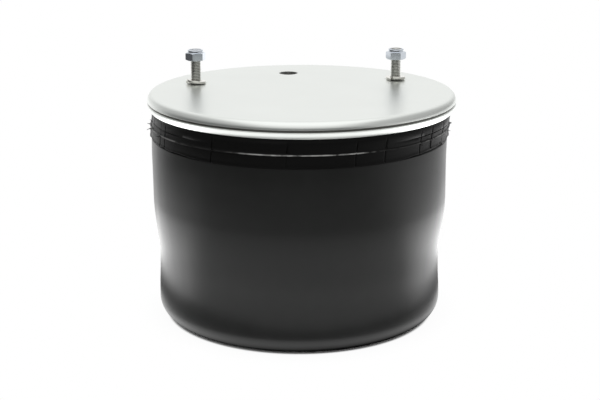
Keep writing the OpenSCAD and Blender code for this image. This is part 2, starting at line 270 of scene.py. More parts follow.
def boundary(mesh, z):
    """Open edges that lie at a height."""
    return [e for e in mesh.edges if e.is_boundary and all(abs(v.co.z - z) < WELD for v in e.verts)]


def cut_above(mesh, point, normal):
    """Takes away what lies past a plane and returns the edges of the cut."""
    cut = bmesh.ops.bisect_plane(mesh, geom=everything(mesh), dist=1e-7, plane_co=point,
                                 plane_no=normal, clear_outer=True)["geom_cut"]
    return [g for g in cut if isinstance(g, bmesh.types.BMEdge)]


def make_piece(name, mesh, material, sharp=32):
    """Closes a mesh's seams, turns it outwards and makes it an object with its finish."""
    bmesh.ops.remove_doubles(mesh, verts=mesh.verts, dist=WELD)
    bmesh.ops.recalc_face_normals(mesh, faces=mesh.faces)
    data = bpy.data.meshes.new(name)
    mesh.to_mesh(data)
    mesh.free()
    data.shade_smooth()
    data.set_sharp_from_angle(angle=math.radians(sharp))
    data.materials.append(material)
    piece = bpy.data.objects.new(name, data)
    bpy.context.scene.collection.objects.link(piece)
    return piece


# Finishes


class Value:
    """A shader socket that takes Python's operators, each of which adds a Math node."""

    def __init__(self, tree, socket):
        self.tree = tree
        self.socket = socket

    def math(self, operation, first, second=0.0):
        return self.tree.node("ShaderNodeMath", {"operation": operation}, {0: first, 1: second})

    def __add__(self, other):
        return self.math("ADD", self, other)

    __radd__ = __add__

    def __sub__(self, other):
        return self.math("SUBTRACT", self, other)

    def __rsub__(self, other):
        return self.math("SUBTRACT", other, self)

    def __mul__(self, other):
        return self.math("MULTIPLY", self, other)

    __rmul__ = __mul__

    def sine(self):
        return self.math("SINE", self)

    def angle_from(self, other):
        return self.math("ARCTAN2", self, other)

    def largest(self, other):
        return self.math("MAXIMUM", self, other)

    def size(self):
        return self.math("ABSOLUTE", self)

    def power(self, exponent):
        return self.math("POWER", self, exponent)

    def step(self, low, high):
        """Smooth step from 0 at low to 1 at high."""
        return self.tree.node("ShaderNodeMapRange", {"interpolation_type": "SMOOTHSTEP"},
                              {"Value": self, "From Min": low, "From Max": high})


class Tree:
    """The node tree of one finish, of the floor or of the world."""

    def __init__(self, tree):
        self.tree = tree
        tree.nodes.clear()

    def node(self, kind, settings=None, sockets=None, out=0):
        """Adds a node: its settings first, then a value or a link for each socket."""
        made = self.tree.nodes.new(kind)
        for name, value in (settings or {}).items():
            setattr(made, name, value)
        for key, value in (sockets or {}).items():
            if isinstance(value, Value):
                self.tree.links.new(value.socket, made.inputs[key])
            else:
                made.inputs[key].default_value = value
        return Value(self, made.outputs[out]) if made.outputs else None

    def place(self):
        """Object coordinates."""
        return self.node("ShaderNodeTexCoord", out="Object")

    def height(self):
        """Height above the floor."""
        return self.axes(self.place())[2]

    def axes(self, vector):
        """The three numbers of a vector."""
        split = self.node("ShaderNodeSeparateXYZ", {}, {0: vector}).socket.node
        return [Value(self, split.outputs[i]) for i in range(3)]

    def grain(self, size, stretch=(1, 1, 1), detail=3.0, roughness=0.5):
        """Noise from 0 to 1 with features of about that size, drawn out along the larger stretches."""
        scale = [1 / s for s in stretch]
        vector = self.node("ShaderNodeMapping", {}, {"Vector": self.place(), "Scale": scale})
        return self.node("ShaderNodeTexNoise", {},
                         {"Vector": vector, "Scale": 1 / size, "Detail": detail, "Roughness": roughness})

    def along(self, vector, angle):
        """How far a vector goes in the level direction at an angle."""
        return self.node("ShaderNodeVectorMath", {"operation": "DOT_PRODUCT"},
                         {0: vector, 1: level_direction(angle)}, out="Value")

    def from_axis(self, at_x, at_y, both_sides=False):
        """Distance from an upright axis, or from the nearer of it and its mirror image in X."""
        x, y, _ = self.axes(self.place())
        x = (x.size() if both_sides else x) - at_x
        y = y - at_y
        return (x * x + y * y).power(0.5)

    def length(self, vector):
        """Length of a vector."""
        return self.node("ShaderNodeVectorMath", {"operation": "LENGTH"}, {0: vector}, out="Value")

    def tint(self, factor, first, second):
        """A colour between two colours, each given as numbers or as a socket."""
        first, second = (c if isinstance(c, Value) else (*c, 1) for c in (first, second))
        return self.node("ShaderNodeMix", {"data_type": "RGBA"}, {0: factor, 6: first, 7: second}, out=2)

    def bump(self, height, depth):
        """A normal from a height of 0 to 1 and its real depth."""
        return self.node("ShaderNodeBump", {}, {"Height": height, "Distance": depth, "Strength": 1.0})

    def surface(self, sockets):
        """Ends the tree in one Principled shader."""
        shader = self.node("ShaderNodeBsdfPrincipled", {}, sockets)
        self.node("ShaderNodeOutputMaterial", {}, {"Surface": shader})


def new_finish(name):
    """A new material and its empty tree."""
    material = bpy.data.materials.new(name)
    material.use_nodes = True
    return material, Tree(material.node_tree)


PLATE_COLOUR = (0.80, 0.825, 0.795)


def zinc_sheet():
    """Satin zinc: rolled grain along X, faint clouds, and painted shade in the groove and under the washers.
    """
    material, tree = new_finish("zinc_sheet")
    rolled = tree.grain(0.4 * MM, stretch=(60, 1, 1), detail=2)
    clouds = tree.grain(60 * MM, detail=2)
    # Painted shade: the rim's groove and the seats under the washers are tinted dark where shade falls.
    groove = 1 - (tree.height() - GROOVE_Z).size().step(0.5 * MM, 1.1 * MM)
    seat = 1 - tree.from_axis(STUD_X, STUD_Y, both_sides=True).step(WASHER_R - 1.5 * MM, WASHER_R)
    groove_and_seat_shade = groove.largest(seat)
    tree.surface({
        "Base Color": tree.tint(0.05 * clouds + groove_and_seat_shade, PLATE_COLOUR, (0.12, 0.12, 0.11)),
        "Metallic": 1.0,
        "Roughness": 0.28 + 0.05 * clouds + 0.03 * rolled,
        "Normal": tree.bump(rolled, 0.0015 * MM),
    })
    return material


def thread_steel():
    """Rolled threads: zinc, painted darker in the roots as shade."""
    material, tree = new_finish("thread_steel")
    stain = tree.grain(2.5 * MM, detail=4)
    fine = tree.grain(0.3 * MM, detail=2)
    out = tree.from_axis(STUD_X, STUD_Y, both_sides=True)
    # Painted shade: the thread's roots are tinted dark where shade falls between the flanks.
    root = 1 - out.step(STUD_R - 0.7 * MM, STUD_R - 0.15 * MM)
    tree.surface({
        "Base Color": tree.tint(0.2 * stain + 0.5 * root, (0.80, 0.80, 0.76), (0.13, 0.13, 0.115)),
        "Metallic": 1.0,
        "Roughness": 0.18 + 0.10 * stain,
        "Normal": tree.bump(fine, 0.006 * MM),
    })
    return material


def plain_steel():
    """Dull grey steel of hidden fittings and of the port's bush, whose flush edge is plated."""
    material, tree = new_finish("plain_steel")
    edge = tree.from_axis(PORT_X, PORT_Y).step(PORT_SPIGOT_R - 0.8 * MM, PORT_SPIGOT_R - 0.4 * MM)
    flush = tree.height().step(PLATE_TOP - 0.3 * MM, PLATE_TOP - 0.1 * MM) * edge
    stain = tree.grain(3 * MM, detail=4)
    steel = tree.tint(stain, (0.25, 0.25, 0.24), (0.14, 0.14, 0.135))
    tree.surface({
        "Base Color": tree.tint(flush, steel, PLATE_COLOUR),
        "Metallic": 1.0,
        "Roughness": 0.38 + 0.14 * stain - 0.12 * flush,
        "Normal": tree.bump(stain, 0.02 * MM),
    })
    return material


def bright_zinc(name, light, dark):
    """Bright zinc: bluish on the nuts, creamy on the washers."""
    material, tree = new_finish(name)
    clouds = tree.grain(3 * MM, detail=3)
    fine = tree.grain(0.25 * MM, stretch=(1, 1, 6), detail=2)
    tree.surface({
        "Base Color": tree.tint(clouds, light, dark),
        "Metallic": 1.0,
        "Roughness": 0.10 + 0.08 * clouds + 0.03 * fine,
        "Normal": tree.bump(fine, 0.003 * MM),
    })
    return material


def moulded_nylon():
    """Milky nylon of the locking rings."""
    material, tree = new_finish("moulded_nylon")
    clouds = tree.grain(1.5 * MM, detail=2)
    tree.surface({
        "Base Color": tree.tint(clouds, (0.80, 0.82, 0.85), (0.70, 0.72, 0.76)),
        "Roughness": 0.38 + 0.12 * clouds,
        "Normal": tree.bump(clouds, 0.02 * MM),
    })
    return material


def sleeve_rubber():
    """Satin black rubber: moulded skin, soft flow streaks, a film of mould wax low down and a rough foot
    painted its darkest as shade where the lobe meets the floor.
    """
    material, tree = new_finish("sleeve_rubber")
    z = tree.height()
    # Painted shade: the lowest 2.4 mm is rougher, has no wax and takes the darkest tint, as shade where the
    # lobe meets the floor.
    foot = 1 - z.step(1.4 * MM, 2.4 * MM)
    wax = (1 - z.step(55 * MM, 105 * MM)) * (1 - foot)
    skin = tree.grain(0.7 * MM, detail=4, roughness=0.6)
    clouds = tree.grain(22 * MM, detail=4)
    streaks = tree.grain(5 * MM, stretch=(1, 1, 14), detail=3)
    dust = tree.grain(1.6 * MM, detail=5, roughness=0.75).step(0.62, 0.80)
    bloom = (0.6 * clouds + 0.4 * dust) * (1 - foot)
    tree.surface({
        "Base Color": tree.tint(bloom, (0.0046, 0.0050, 0.0046), (0.0092, 0.0097, 0.0094)),
        "Specular IOR Level": 0.28,
        "Roughness": 0.25 + 0.08 * clouds + 0.06 * streaks + 0.10 * dust + 0.6 * foot,
        "Coat Weight": wax * (0.24 + 0.12 * clouds),
        "Coat Roughness": 0.28,
        "Normal": tree.bump(0.35 * skin + 0.5 * clouds + 0.3 * streaks, 0.10 * MM),
    })
    return material


def band_rubber():
    """Rubber of the bead band: a cloth imprint, and a painted highlight along the ridge in patches,
    strongest where it faces the camera.
    """
    material, tree = new_finish("band_rubber")
    x, y, z = tree.axes(tree.place())
    skin = tree.grain(0.7 * MM, detail=4, roughness=0.6)
    # Painted highlight: a light tint along the ridge, in patches, strongest on the side facing the camera
    # and weaker at the left and right.
    highlight_patches = tree.grain(14 * MM, detail=4, roughness=0.6).step(0.36, 0.58)
    front, left, right = (tree.along(tree.place(), angle) for angle in (2, -70, 66))
    highlight_strength = (0.03 + 0.97 * front.step(0.88 * SLEEVE_R, 0.995 * SLEEVE_R)
              + 0.3 * left.step(0.92 * SLEEVE_R, 0.99 * SLEEVE_R)
              + 0.4 * right.step(0.92 * SLEEVE_R, 0.99 * SLEEVE_R))
    ridge = (1 - (z - BAND_LINE_Z).size().step(0.35 * MM, 0.75 * MM)) * highlight_patches * highlight_strength
    cloth_pitch = 1.3 * MM
    thread = TURN / cloth_pitch
    weave = (y.angle_from(x) * (SLEEVE_R * thread)).sine() * (z * thread).sine()
    tree.surface({
        "Base Color": tree.tint(ridge, (0.0030, 0.0030, 0.0029), (0.34, 0.34, 0.33)),
        "Specular IOR Level": 0.1,
        "Roughness": 0.28 + 0.14 * skin,
        "Normal": tree.bump(0.4 * skin + 0.25 * weave, 0.12 * MM),
    })
    return material


def stop_rubber():
    """Matt black rubber of the bump stop and the seal."""
    material, tree = new_finish("stop_rubber")
    skin = tree.grain(1.2 * MM, detail=4)
    tree.surface({
        "Base Color": tree.tint(skin, (0.010, 0.010, 0.010), (0.022, 0.022, 0.021)),
        "Roughness": 0.55 + 0.15 * skin,
        "Normal": tree.bump(skin, 0.15 * MM),
    })
    return material


def black_paint():
    """Dipped black paint of the piston with a slight orange peel and dry scuffs along its run."""
    material, tree = new_finish("black_paint")
    peel = tree.grain(2.2 * MM, detail=2)
    scuffs = tree.grain(1.2 * MM, stretch=(1, 1, 18), detail=4).step(0.58, 0.74)
    tree.surface({
        "Base Color": tree.tint(scuffs, (0.016, 0.016, 0.017), (0.040, 0.040, 0.041)),
        "Roughness": 0.30 + 0.08 * peel + 0.18 * scuffs,
        "Normal": tree.bump(peel, 0.05 * MM),
    })
    return material


def coated_wire():
    """Bronze-coated bead wire."""
    material, tree = new_finish("coated_wire")
    stain = tree.grain(4 * MM, detail=3)
    tree.surface({
        "Base Color": tree.tint(stain, (0.62, 0.52, 0.34), (0.46, 0.39, 0.27)),
        "Metallic": 1.0,
        "Roughness": 0.30 + 0.15 * stain,
        "Normal": tree.bump(stain, 0.02 * MM),
    })
    return material


SHEET = zinc_sheet()
THREAD = thread_steel()
STEEL = plain_steel()
ZINC = bright_zinc("blue_zinc", (0.70, 0.74, 0.785), (0.60, 0.645, 0.70))
WASHER = bright_zinc("cream_zinc", (0.86, 0.85, 0.80), (0.76, 0.75, 0.70))
NYLON = moulded_nylon()
RUBBER = sleeve_rubber()
BAND_RUBBER = band_rubber()
STOP = stop_rubber()
PAINT = black_paint()
WIRE = coated_wire()

CAD_FINISHES = {
    "upper_bead_wire": WIRE, "lower_bead_wire": WIRE, "piston_shell": PAINT, "piston_base": PAINT,
    "base_bushes": STEEL, "centre_tube": PAINT, "end_closure": STEEL, "closure_seal": STOP,
    "piston_bolt": ZINC, "bolt_washer": ZINC, "piston_nut": ZINC, "bump_stop": STOP,
    "bump_stop_foot": STEEL,
}
for node_name, finish in CAD_FINISHES.items():
    frame["nodes"][node_name].material_slots[0].material = finish


# Plate


def rim_section():
    """Section of the crimped rim, from the edge of the flat face round to the flat underside."""
    shoulder = [(FLAT_R + SHOULDER_W * x, PLATE_TOP + SHOULDER_H * (y - 1))
                for x, y in arc((0, 0), 1, 90, 0, 24)[:-1]]
    trough = [(PLATE_R - GROOVE_DEPTH * ease(math.sin(math.pi * t)), GROOVE_Z + GROOVE_H * (0.5 - t))
              for t in span(0, 1, 16)]
    lip = [(PLATE_R - LIP_W * (LIP_LEAN * t + (1 - LIP_LEAN) * t ** 3), RIM_BOTTOM + LIP_H * (1 - t))
           for t in span(0, 1, 16)]
    return (
        shoulder + trough + lip
        + arc((HOOK_R + HOOK_END_R, RIM_BOTTOM + HOOK_END_R), HOOK_END_R, 270, 90)
        + [(RIM_INNER_R, RIM_BOTTOM + PLATE_T)]
        + arc((RIM_INNER_R - INNER_FILLET, PLATE_UNDER - INNER_FILLET), INNER_FILLET, 0, 90, 8)
    )


def bore(mesh, x, y, rings, segments=64):
    """Walls of a stepped hole from (radius, height) rings, and its first and last ring of edges."""
    loops = [circle(mesh, r, x, y, z, segments) for r, z in rings]
    for upper, lower in zip(loops, loops[1:]):
        bmesh.ops.bridge_loops(mesh, edges=upper + lower)
    return loops[0], loops[-1]


def make_plate():
    """The pressed plate with its crimped rim, coined stud seats and air port."""
    mesh = bmesh.new()
    lathe(mesh, rim_section(), PLATE_STEPS, closed=False)
    seat_z = PLATE_TOP - SEAT_DEPTH
    port_r = PORT_SPIGOT_R + RUN_GAP
    face_edges = boundary(mesh, PLATE_TOP)
    under_edges = boundary(mesh, PLATE_UNDER)
    holes = [(x, y, [(SEAT_R, PLATE_TOP), (SEAT_R - SEAT_DEPTH, seat_z), (STUD_HOLE_R, seat_z),
                     (STUD_HOLE_R, PLATE_UNDER)]) for x, y in STUD_PLACES]
    holes.append((PORT_X, PORT_Y, [(port_r, PLATE_TOP), (port_r, PLATE_UNDER)]))
    for x, y, rings in holes:
        upper, lower = bore(mesh, x, y, rings)
        face_edges += upper
        under_edges += lower
    for edges in (face_edges, under_edges):
        bmesh.ops.triangle_fill(mesh, edges=edges, use_beauty=True)
    piece = make_piece("crimped_plate", mesh, SHEET)
    flat = 0.9999
    piece.data.polygons.foreach_set("use_smooth", [abs(p.normal.z) < flat for p in piece.data.polygons])
    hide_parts("top_plate")
    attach(piece, "top_plate")


make_plate()


# Threads, studs, nuts and washers


def thread_section(major, pitch):
    """One pitch of a thread with its flat root and crest."""
    minor = major - pitch / 2
    return [(minor, 0), (minor, pitch / 8), (major, pitch * 3 / 8), (major, pitch * 5 / 8),
            (minor, pitch * 7 / 8), (minor, pitch)]


def cut_thread(mesh, major, pitch, low, high, facets=40):
    """A helical thread from low to high, open at both ends."""
    turns = math.ceil((high - low) / pitch) + 2
    section = [(r, low - 1.5 * pitch + z) for r, z in thread_section(major, pitch)]
    turn = sweep(mesh, section, False, TURN, facets, climb=pitch)
    repeat(mesh, turn, [Matrix.Translation((0, 0, i * pitch)) for i in range(1, turns)])
    cut_above(mesh, (0, 0, low), (0, 0, -1))
    cut_above(mesh, (0, 0, high), (0, 0, 1))


def make_studs():
    """Two rolled threads with a chamfered end, each with its flat head under the plate."""
    chamfer = 1 * MM
    mesh = bmesh.new()
    cut_thread(mesh, STUD_R, STUD_PITCH, PLATE_UNDER, STUD_TOP)
    for vert in mesh.verts:
        reach = math.hypot(vert.co.x, vert.co.y)
        limit = STUD_R - max(0, vert.co.z - (STUD_TOP - chamfer))
        if reach > limit:
            vert.co.xy *= limit / reach
    for level in (PLATE_UNDER, STUD_TOP):
        bmesh.ops.holes_fill(mesh, edges=boundary(mesh, level))
    edge = 0.5 * MM
    lathe(mesh, [(0, STUD_LOW), (STUD_HEAD_R - edge, STUD_LOW), (STUD_HEAD_R, STUD_LOW + edge),
                 (STUD_HEAD_R, PLATE_UNDER), (0, PLATE_UNDER)], 60, closed=False)
    place_copies(mesh, [Matrix.Translation((x, y, 0)) for x, y in STUD_PLACES])
    piece = make_piece("threaded_studs", mesh, THREAD, sharp=40)
    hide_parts("studs")
    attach(piece, "top_plate")


def nut_places():
    """Where the two nuts sit on their studs."""
    return [Matrix.Translation((x, y, level)) @ Matrix.Rotation(math.radians(turn), 4, "Z")
            for (x, y), level, turn in zip(STUD_PLACES, NUT_LEVELS, NUT_TURNS)]


def make_nuts():
    """Lock nuts: a turned blank with a rolled collar, cut to six flats."""
    corner_r = NUT_AF / math.sqrt(3)
    face_r = NUT_AF / 2 - 0.25 * MM
    slope = (corner_r - face_r) * math.tan(math.radians(30))
    bore_r = STUD_R + RUN_GAP
    lead = 0.8 * MM
    fillet = 0.4 * MM
    roll = 0.9 * MM
    opening_r = 5.9 * MM
    blank = (
        [(bore_r, lead), (bore_r + lead, 0), (face_r, 0), (corner_r, slope), (corner_r, NUT_HEX_H - slope),
         (face_r - fillet, NUT_HEX_H)]
        + arc((NUT_COLLAR_R + fillet, NUT_HEX_H + fillet), fillet, 270, 180, 5)
        + arc((NUT_COLLAR_R - roll, NUT_H - roll), roll, 0, 90, 8)
        + [(opening_r, NUT_H - 0.1 * MM), (opening_r, INSERT_TOP), (INSERT_R, INSERT_TOP),
           (INSERT_R, NUT_HEX_H), (bore_r, NUT_HEX_H)]
    )
    mesh = bmesh.new()
    lathe(mesh, blank, 120)
    for flat in range(6):
        turn = (flat + 0.5) * TURN / 6
        out = Vector((math.cos(turn), math.sin(turn), 0))
        bmesh.ops.edgeloop_fill(mesh, edges=cut_above(mesh, out * (NUT_AF / 2), out))
    place_copies(mesh, nut_places())
    piece = make_piece("lock_nuts", mesh, ZINC, sharp=25)
    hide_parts("stud_nuts")
    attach(piece, "top_plate")


def make_nylon_rings():
    """Locking rings inside the nuts' collars, each a little tight on its stud."""
    ring_r = INSERT_R - RUN_GAP
    grip_r = STUD_R - RUN_GAP
    rim = 0.5 * MM
    top = INSERT_TOP - RUN_GAP
    mesh = bmesh.new()
    lathe(mesh, [(grip_r, NUT_HEX_H + rim), (grip_r + rim, NUT_HEX_H), (ring_r, NUT_HEX_H), (ring_r, top)]
          + arc((grip_r + rim, top - rim), rim, 90, 180, 6), 60)
    place_copies(mesh, nut_places())
    piece = make_piece("nylon_rings", mesh, NYLON)
    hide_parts("nut_inserts")
    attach(piece, "top_plate")


def make_washers():
    """Split spring washers: a square section with rounded edges that falls as it goes round its stud."""
    inner_r = STUD_HOLE_R
    edge = 0.25 * MM
    steps = 72
    section = [(inner_r + edge, 0), (WASHER_R - edge, 0), (WASHER_R, edge), (WASHER_R, WASHER_T - edge),
               (WASHER_R - edge, WASHER_T), (inner_r + edge, WASHER_T), (inner_r, WASHER_T - edge),
               (inner_r, edge)]
    mesh = bmesh.new()
    half_gap = Matrix.Rotation(math.radians(WASHER_GAP / 2), 3, "Z")
    end = mesh.faces.new([mesh.verts.new(half_gap @ Vector((r, 0, WASHER_RISE + z))) for r, z in section])
    bmesh.ops.spin(mesh, geom=[end], cent=(0, 0, 0), axis=(0, 0, 1), dvec=(0, 0, -WASHER_RISE / steps),
                   angle=math.radians(360 - WASHER_GAP), steps=steps, use_duplicate=False)
    level = PLATE_TOP - SEAT_DEPTH + RUN_GAP
    place_copies(mesh, [Matrix.Translation((x, y, level)) @ Matrix.Rotation(math.radians(tilt), 4, "Y")
                        @ Matrix.Rotation(math.radians(turn), 4, "Z")
                        for (x, y), tilt, turn in zip(STUD_PLACES, WASHER_TILTS, WASHER_TURNS)])
    piece = make_piece("spring_washers_split", mesh, WASHER, sharp=30)
    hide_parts("spring_washers")
    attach(piece, "top_plate")


def make_port_bush():
    """Flanged bush with its cut thread, its spigot in the plate and its countersunk mouth."""
    mesh = bmesh.new()
    thread_r = PORT_CORE_R + PORT_PITCH / 2
    cut_thread(mesh, thread_r, PORT_PITCH, PORT_LOW, PORT_THREAD_TOP, facets=56)
    flange_low = PLATE_UNDER - PORT_FLANGE_T
    lathe(mesh, [(PORT_BUSH_R, PORT_LOW), (PORT_BUSH_R, flange_low), (PORT_FLANGE_R, flange_low),
                 (PORT_FLANGE_R, PLATE_UNDER), (PORT_SPIGOT_R, PLATE_UNDER), (PORT_SPIGOT_R, PORT_TOP),
                 (PORT_R, PORT_TOP), (thread_r + RUN_GAP, PORT_THREAD_TOP)], 96, closed=False)
    for level in (PORT_LOW, PORT_THREAD_TOP):
        bmesh.ops.triangle_fill(mesh, edges=boundary(mesh, level), use_beauty=True)
    bmesh.ops.translate(mesh, verts=mesh.verts, vec=(PORT_X, PORT_Y, 0))
    piece = make_piece("port_bush", mesh, STEEL, sharp=40)
    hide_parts("air_port_bush")
    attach(piece, "top_plate")


make_studs()
make_nuts()
make_nylon_rings()
make_washers()
make_port_bush()


# Rubber


def set_aside(mesh):
    """Moves the sleeve a little off the plate's axis, but not its bead nor the run on the piston."""
    for vert in mesh.verts:
        reach = math.hypot(vert.co.x, vert.co.y)
        below_rim = ease((RIM_BOTTOM - vert.co.z) / ASIDE_DROP)
        off_piston = ease((reach - INNER_RUN_R) / (2 * FOLD_R - WALL_T))
        vert.co.x += SLEEVE_ASIDE * below_rim * off_piston


def sway(angle, z):
    """Slow waves in the moulded wall."""
    around = 1.2
    upwards = 14
    return noise.noise(Vector((around * math.cos(angle), around * math.sin(angle), upwards * z)))


def make_sleeve():
    """Outer wall of the bellows from its bead in the crimp down to the bottom of the rolled lobe."""
    bed_r = SLEEVE_R + BAND_BED - RUN_GAP
    wave = 0.6 * MM
    wall = [(sleeve_at(z), z) for z in span(BAND_Z - 2.2 * MM, FOLD_Z, 64)]
    outside = (
        arc((BEAD_OUT_R - BEAD_CORNER, BEAD_LOW + BEAD_CORNER), BEAD_CORNER, 0, -90, 5)
        + [(SLEEVE_R, BEAD_LOW), (SLEEVE_R, RIM_BOTTOM), (bed_r, RIM_BOTTOM - 0.4 * MM),
           (bed_r, BAND_Z + 1.5 * MM), (bed_r - 0.5 * MM, BAND_Z), (bed_r - 0.4 * MM, BAND_Z - 0.9 * MM),
           (SLEEVE_R - 0.5 * MM, BAND_Z - 1.5 * MM)]
        + wall
        + arc((FOLD_X, FOLD_Z), FOLD_R, 0, -90, 16)[1:]
    )
    inside = (
        arc((FOLD_X, FOLD_Z), FOLD_R - WALL_T, -90, 0, 12)
        + [(sleeve_at(z) - WALL_T, z) for z in span(FOLD_Z, BAND_Z, 32)][1:]
        + [(SLEEVE_R - WALL_T, BEAD_LOW - 4 * MM), (BEAD_IN_R, BEAD_LOW + BEAD_CORNER)]
        + arc((BEAD_IN_R + BEAD_CORNER, BEAD_HIGH - BEAD_CORNER), BEAD_CORNER, 180, 90, 5)
        + arc((BEAD_OUT_R - BEAD_CORNER, BEAD_HIGH - BEAD_CORNER), BEAD_CORNER, 90, 0, 5)
    )
    mesh = bmesh.new()
    lathe(mesh, outside + inside, SLEEVE_STEPS)
    for vert in mesh.verts:
        angle = math.atan2(vert.co.y, vert.co.x)
        window = ease((vert.co.z - FOLD_Z) / (25 * MM)) * ease((BAND_Z - vert.co.z) / (20 * MM))
        vert.co.xy *= 1 + wave * window * sway(angle, vert.co.z) / SLEEVE_R
    set_aside(mesh)
    piece = make_piece("bellows_sleeve", mesh, RUBBER)
    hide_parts("bellows")
    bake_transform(piece)


def make_inner_run():
    """Inner run of the bellows: from the bottom of the lobe up the piston to the lower bead on its neck."""
    shoulder = (PISTON_R - PISTON_SHOULDER_R, SHOULDER_Z - PISTON_SHOULDER_R)
    bead_in_r = NECK_R + SOFT_GAP
    bead_out_r = bead_in_r + LOW_BEAD_W
    bead_low = SHOULDER_Z + SOFT_GAP
    bead_high = PISTON_TOP - SOFT_GAP
    near = (
        arc((FOLD_X, FOLD_Z), FOLD_R, -90, -180, 16)
        + [(INNER_RUN_R, z) for z in span(FOLD_Z, shoulder[1], 24)][1:-1]
        + arc(shoulder, PISTON_SHOULDER_R + SOFT_GAP, 0, 90, 12)
        + [(bead_in_r, bead_low), (bead_in_r - NECK_TAPER, bead_high)]
        + arc((bead_out_r - BEAD_CORNER, bead_high - BEAD_CORNER), BEAD_CORNER, 90, 0, 5)
        + [(bead_out_r, bead_low + WALL_T)]
    )
    far = (
        arc(shoulder, PISTON_SHOULDER_R + SOFT_GAP + WALL_T, 90, 0, 12)
        + [(INNER_RUN_R + WALL_T, z) for z in span(shoulder[1], FOLD_Z, 24)][1:-1]
        + arc((FOLD_X, FOLD_Z), FOLD_R - WALL_T, -180, -90, 12)
    )
    mesh = bmesh.new()
    lathe(mesh, near + far, SLEEVE_STEPS)
    set_aside(mesh)
    piece = make_piece("bellows_inner_run", mesh, RUBBER)
    FOLD_Z + 3 * MM
    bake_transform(piece)


def seam_angles():
    """Angles of the band's upright seams: those facing the camera as seen, the rest at a like pitch."""
    seen = [CAMERA_SIDE + a for a in
            (-86, -80.5, -73.5, -63.4, -59.5, -33, -4.6, 20, 31.7, 49, 56.4, 66.6, 74, 82, 87)]
    closing_gap = 14
    angles = list(seen)
    while angles[-1] < seen[0] + 360 - closing_gap:
        angles.append(angles[-1] + random.choice((7, 9, 12, 18)))
    return angles


SEAMS = seam_angles()


def band_section():
    """Section of the bead band: its face from the rim down to its lower edge, then its back."""
    under_rim = [(0.0, RIM_BOTTOM - 0.3 * MM), (0.3 * MM, RIM_BOTTOM - 1.5 * MM),
                 (0.6 * BAND_MID, RIM_BOTTOM - 3 * MM)]
    upper_rows = [(BAND_MID, z) for z in (
        RIM_BOTTOM - 4 * MM, RIM_BOTTOM - 6 * MM, BAND_JOINT_Z + 0.5 * MM, BAND_JOINT_Z,
        BAND_JOINT_Z - 0.5 * MM, BAND_JOINT_Z - 2.5 * MM, RIDGE_TOP)]
    ridge = [(1.05 * BAND_STEP, BAND_LINE_Z + 0.3 * MM), (1.05 * BAND_STEP, BAND_LINE_Z - 0.4 * MM)]
    lower_row = [(BAND_MID, z) for z in span(RIDGE_LOW, BAND_Z + 1.6 * MM, 5)]
    lower_edge = [(BAND_MID + 0.3 * MM, BAND_Z + 0.8 * MM), (BAND_MID + 0.2 * MM, BAND_Z + 0.2 * MM),
                  (BAND_MID - 0.5 * MM, BAND_Z)]
    back = [(BAND_BED, BAND_Z + 1.2 * MM), (BAND_BED, RIM_BOTTOM - 0.8 * MM)]
    return [(SLEEVE_R + r, z) for r, z in under_rim + upper_rows + ridge + lower_row + lower_edge + back]


def facing_away(angle):
    """0 on the part of the band that faces the camera, where it is clean, and 1 round its sides and back."""
    front = math.cos(angle - math.radians(CAMERA_SIDE))
    return ease((0.85 - front) / 0.25)


def panel_rise(z, angle, upper, lower):
    """How far the face of a panel of the band stands out at a height, in millimetres."""
    near = 0.1 * MM
    joint_depth = 0.7
    rise = 0.25 * sway(3 * angle, 3 * z)
    if z > RIDGE_TOP - near:
        rise += upper
    elif z < RIDGE_LOW + near:
        rise += lower
    if abs(z - BAND_JOINT_Z) < near:
        rise -= joint_depth * facing_away(angle)
    return rise


def tear(angle, torn, tooth):
    """How far the band's lower edge is raised at an angle, in millimetres."""
    rough = facing_away(angle)
    ragged = torn + tooth + 0.9 * noise.noise(Vector((9 * math.cos(angle), 9 * math.sin(angle), 0)))
    return ragged * (0.1 + 0.9 * rough) - 1.8 * (1 - rough) + 0.3 * rough


def make_band():
    """Raised bead band: rows of moulded panels, a ridge between them and a torn lower edge."""
    pitch = 360 / BAND_STEPS
    seam_depth = 0.85
    columns = sorted({round(a / pitch) % BAND_STEPS for a in SEAMS})
    panels = [(random.uniform(-0.35, 0.35), random.uniform(-0.35, 0.35), random.uniform(-0.9, 0.7))
              for _ in columns]
    teeth = [random.uniform(-0.45, 0.45) for _ in range(BAND_STEPS)]
    mesh = bmesh.new()
    lathe(mesh, band_section(), BAND_STEPS)
    for vert in mesh.verts:
        if math.hypot(vert.co.x, vert.co.y) - SLEEVE_R < BAND_BED + 0.1 * MM:
            continue
        z = vert.co.z
        angle = math.atan2(vert.co.y, vert.co.x)
        column = round(math.degrees(angle) / pitch) % BAND_STEPS
        upper, lower, torn = panels[sum(c <= column for c in columns) - 1]
        rise = -seam_depth if column in columns else panel_rise(z, angle, upper, lower)
        in_rows = ease((RIM_BOTTOM - 3.5 * MM - z) / (1 * MM))
        vert.co.xy *= 1 + rise * MM * in_rows / SLEEVE_R
        vert.co.z += tear(angle, torn, teeth[column]) * MM * ease((TEAR_Z - z) / (TEAR_Z - BAND_Z))
    set_aside(mesh)
    piece = make_piece("bead_band", mesh, BAND_RUBBER, sharp=50)
    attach(piece, "top_plate")


